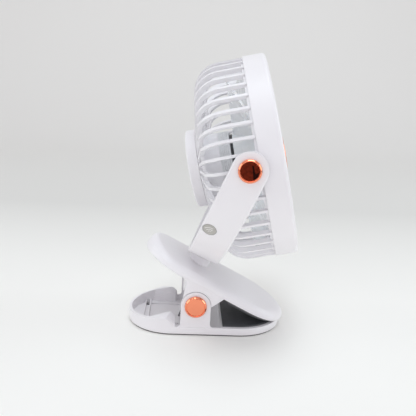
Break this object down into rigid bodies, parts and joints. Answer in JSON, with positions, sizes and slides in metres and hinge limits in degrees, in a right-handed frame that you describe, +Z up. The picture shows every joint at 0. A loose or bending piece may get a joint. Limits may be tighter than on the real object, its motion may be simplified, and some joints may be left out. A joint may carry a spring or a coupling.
{
  "type": "clip-on camping fan",
  "caption": "Portable camping fan on a spring clip: caged fan head that tilts in a U-shaped yoke, which swivels on the clip's battery jaw.",
  "frame": {"origin": "centre of the base's plan, on the surface that the rubber foot stands on", "axes": "+X from the clip's tail to its tip, which is the way the fan blows; +Z up; +Y to the left of the fan as seen from behind it"},
  "size_m": [0.1278, 0.169, 0.2052],
  "materials": {
    "white_plastic": "smooth satin white",
    "blade_plastic": "smooth, slightly translucent",
    "black_rubber": "matt",
    "rose_gold": "polished rose gold plating",
    "steel": "plain",
    "bearing_bronze": "sintered",
    "board": "satin",
    "cell_sleeve": "satin",
    "lens": "frosted",
    "copper_winding": "enamelled wire",
    "magnet": "sintered",
    "button_grey": "matt",
    "friction_fibre": "matt"
  },
  "bodies": {
    "base": {"base_tray": "white_plastic", "base_pad": "black_rubber", "foot_pad": "black_rubber", "hinge_pin": "steel", "hinge_caps": "rose_gold", "grip_spring": "steel"},
    "upper_jaw": {"jaw_shell": "white_plastic", "jaw_cover": "white_plastic", "jaw_pad": "black_rubber", "battery_cell": "cell_sleeve", "charge_board": "board", "usb_socket": "steel", "charge_led": "lens", "swivel_bush": "bearing_bronze", "jaw_screws": "steel"},
    "yoke": {"yoke_shell": "white_plastic", "yoke_cover": "white_plastic", "swivel_stem": "white_plastic", "swivel_washer": "steel", "swivel_nut": "steel", "pivot_caps": "rose_gold", "pivot_washers": "friction_fibre", "speed_board": "board"},
    "button": {"speed_button": "button_grey"},
    "head": {"pivot_screws": "steel", "front_ring": "white_plastic", "front_grille": "white_plastic", "centre_cap": "rose_gold", "rear_cage": "white_plastic", "rear_hub_cap": "white_plastic", "motor_can": "steel", "stator": "copper_winding", "rear_bearing": "bearing_bronze", "front_bearing": "bearing_bronze", "motor_screws": "steel"},
    "rotor": {"motor_shaft": "steel", "rotor_magnet": "magnet", "rotor_disc": "black_rubber", "impeller": "blade_plastic", "impeller_nut": "bearing_bronze"}
  },
  "joints": [
    {"name": "jaw_hinge", "type": "hinge", "parent": "base", "child": "upper_jaw", "pos_m": [-0.0073, 0, 0.0228], "axis": [0, -1, 0], "range_deg": [0, 33], "stiffness_Nm_per_rad": 0.9, "springref_deg": -40.11, "deforming": ["grip_spring"]},
    {"name": "yoke_swivel", "type": "hinge", "parent": "upper_jaw", "child": "yoke", "pos_m": [-0.00282, 0, 0.05328], "axis": [0.3939, 0, 0.9191], "range_deg": [-170, 170]},
    {"name": "head_tilt", "type": "hinge", "parent": "yoke", "child": "head", "pos_m": [0.0294, 0, 0.12846], "axis": [-0.0993, -0.9942, 0.0425], "range_deg": [-100, 80]},
    {"name": "speed_press", "type": "slide", "parent": "yoke", "child": "button", "axis": [0.3096, 0.8094, 0.4991], "range_m": [0, 0.0005], "stiffness_N_per_m": 600, "springref_m": -0.0005},
    {"name": "fan_spin", "type": "hinge", "parent": "head", "child": "rotor", "pos_m": [0.0294, 0, 0.12846], "axis": [0.9696, -0.087, 0.2285], "continuous": true}
  ]
}
